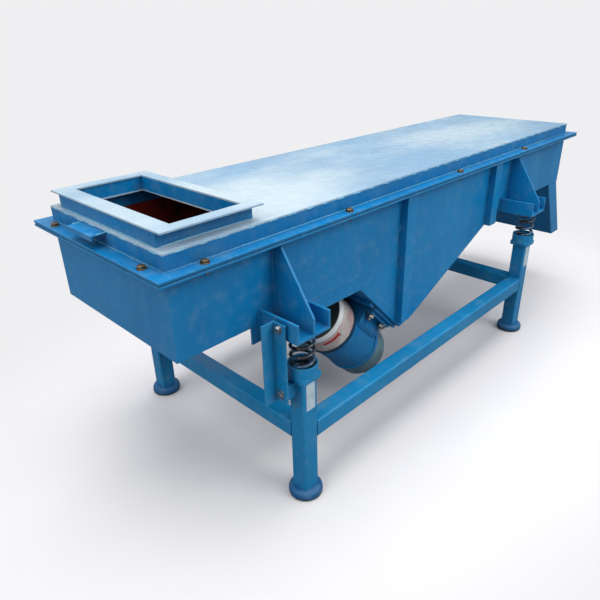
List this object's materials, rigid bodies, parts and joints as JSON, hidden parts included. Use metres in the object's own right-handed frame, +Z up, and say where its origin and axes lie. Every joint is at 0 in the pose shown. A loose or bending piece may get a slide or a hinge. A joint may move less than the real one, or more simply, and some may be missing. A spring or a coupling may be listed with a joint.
{
  "type": "vibrating sieve",
  "caption": "Linear vibrating sieve: covered screening box on springs over a welded frame, with twin vibration motors, a hopper and a chute.",
  "frame": {"origin": "on the floor under the middle of the bounding box", "axes": "+X from the feed end to the discharge end, +Y across the machine, +Z up"},
  "size_m": [2.166, 0.7758, 0.791],
  "materials": {
    "box_blue": "gloss",
    "cover_blue": "gloss",
    "frame_blue": "gloss",
    "gasket": "matte",
    "fasteners": "zinc plated, worn",
    "deck_steel": "primer",
    "screen_cloth": "woven wire",
    "motor_blue": "gloss",
    "motor_cap": "satin",
    "shaft_steel": "ground",
    "weight_iron": "cast",
    "foot_grey": "matte",
    "spring_steel": "satin"
  },
  "bodies": {
    "box": {"side_plate_near": "box_blue", "side_plate_far": "box_blue", "hopper_side_near": "box_blue", "hopper_side_far": "box_blue", "side_skirts": "box_blue", "feed_end_plate": "box_blue", "discharge_end_plate": "box_blue", "pan_feed": "box_blue", "pan_discharge": "box_blue", "hopper_plate_feed": "box_blue", "hopper_plate_discharge": "box_blue", "discharge_spout": "box_blue", "side_ribs": "box_blue", "box_rim_flange": "box_blue", "motor_base_plate": "box_blue", "spring_bracket_feed_near": "box_blue", "spring_bracket_feed_far": "box_blue", "spring_bracket_discharge_near": "box_blue", "spring_bracket_discharge_far": "box_blue", "cover_rim": "cover_blue", "cover_sheet": "cover_blue", "inlet_neck": "cover_blue", "inlet_flange": "cover_blue", "cover_cleat": "cover_blue", "rim_gasket": "gasket", "rim_bolts": "fasteners", "motor_foot_bolts": "fasteners", "deck_ledges": "deck_steel", "deck_end_plates": "deck_steel", "screen_frame": "deck_steel", "screen_cloth": "screen_cloth", "motor_casing_near": "motor_blue", "motor_cap_upper_near": "motor_cap", "motor_cap_lower_near": "motor_cap", "motor_casing_far": "motor_blue", "motor_cap_upper_far": "motor_cap", "motor_cap_lower_far": "motor_cap", "bearings": "shaft_steel"},
    "rotor_near": {"rotor_shaft_near": "shaft_steel", "eccentric_weights_near": "weight_iron"},
    "rotor_far": {"rotor_shaft_far": "shaft_steel", "eccentric_weights_far": "weight_iron"},
    "base": {"leg_feed_near": "frame_blue", "leg_feed_far": "frame_blue", "leg_discharge_near": "frame_blue", "leg_discharge_far": "frame_blue", "rail_near": "frame_blue", "rail_far": "frame_blue", "rail_feed": "frame_blue", "rail_discharge": "frame_blue", "spring_cups": "frame_blue", "transport_braces": "frame_blue", "feet": "foot_grey", "brace_bolts": "fasteners", "spring_feed_near": "spring_steel", "spring_feed_far": "spring_steel", "spring_discharge_near": "spring_steel", "spring_discharge_far": "spring_steel"}
  },
  "joints": [
    {"name": "box_throw", "type": "slide", "parent": "base", "child": "box", "axis": [0.7071, 0, 0.7071], "range_m": [-0.004, 0.004], "stiffness_N_per_m": 300000, "springref_m": 0.00636, "deforming": ["spring_feed_near", "spring_feed_far", "spring_discharge_near", "spring_discharge_far"]},
    {"name": "rotor_near_spin", "type": "hinge", "parent": "box", "child": "rotor_near", "pos_m": [-0.36657, -0.12, 0.23701], "axis": [0.7071, 0, -0.7071], "continuous": true},
    {"name": "rotor_far_spin", "type": "hinge", "parent": "box", "child": "rotor_far", "pos_m": [-0.36657, 0.12, 0.23701], "axis": [0.7071, 0, -0.7071], "continuous": true}
  ],
  "couplings": [
    {"joint": "rotor_far_spin", "follows": "rotor_near_spin", "ratio": -1}
  ]
}
